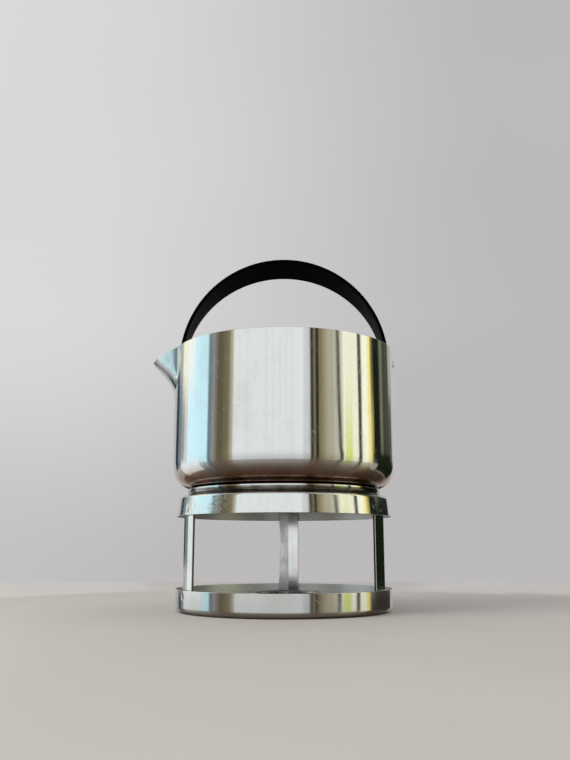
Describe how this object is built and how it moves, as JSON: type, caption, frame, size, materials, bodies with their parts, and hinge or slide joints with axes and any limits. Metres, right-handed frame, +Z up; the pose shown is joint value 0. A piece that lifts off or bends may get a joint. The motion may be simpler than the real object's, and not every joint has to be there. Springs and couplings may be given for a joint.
{
  "type": "teapot with warmer",
  "caption": "Steel teapot with a beak pressed out of its rim, a swinging black arch handle and a hinged inner lid, standing on a legged warmer stand with a candle cup.",
  "frame": {"origin": "on the table, at the middle of the tray's underside, on the common axis of pot and stand", "axes": "+Z up, -X towards the tip of the beak, +X towards the lid's hinge, +Y completes the right-handed frame"},
  "size_m": [0.1674, 0.15, 0.2361],
  "materials": {
    "steel": "satin, finely brushed around",
    "black_coat": "black, satin gloss",
    "black_knob": "black, satin gloss"
  },
  "bodies": {
    "stand": {"stand_tray": "steel", "stand_ring": "steel", "stand_leg_back": "steel", "stand_leg_left": "steel", "stand_leg_right": "steel"},
    "cup": {"candle_cup": "steel"},
    "pot": {"pot_body": "steel", "pot_foot": "steel", "pot_cover": "steel", "hinge_leaf_fixed": "steel", "hinge_pin": "steel", "handle_bracket_left": "steel", "handle_bracket_right": "steel", "handle_rivet_left": "steel", "handle_rivet_right": "steel", "handle_washer_left": "steel", "handle_washer_right": "steel"},
    "lid": {"lid_plate": "steel", "lid_knob": "black_knob", "lid_screw": "steel", "hinge_leaf_lid": "steel"},
    "handle": {"handle_band": "black_coat"}
  },
  "joints": [
    {"name": "pot_lift", "type": "slide", "parent": "stand", "child": "pot", "axis": [0, 0, 1], "range_m": [0, 0.04]},
    {"name": "candle_cup_lift", "type": "slide", "parent": "stand", "child": "cup", "axis": [0, 0, 1], "range_m": [0, 0.02]},
    {"name": "lid_open", "type": "hinge", "parent": "pot", "child": "lid", "pos_m": [0.0386, 0, 0.1574], "axis": [0, 1, 0], "range_deg": [0, 72]},
    {"name": "handle_swing", "type": "hinge", "parent": "pot", "child": "handle", "pos_m": [0, 0, 0.1652], "axis": [1, 0, 0], "range_deg": [-80, 80]}
  ]
}
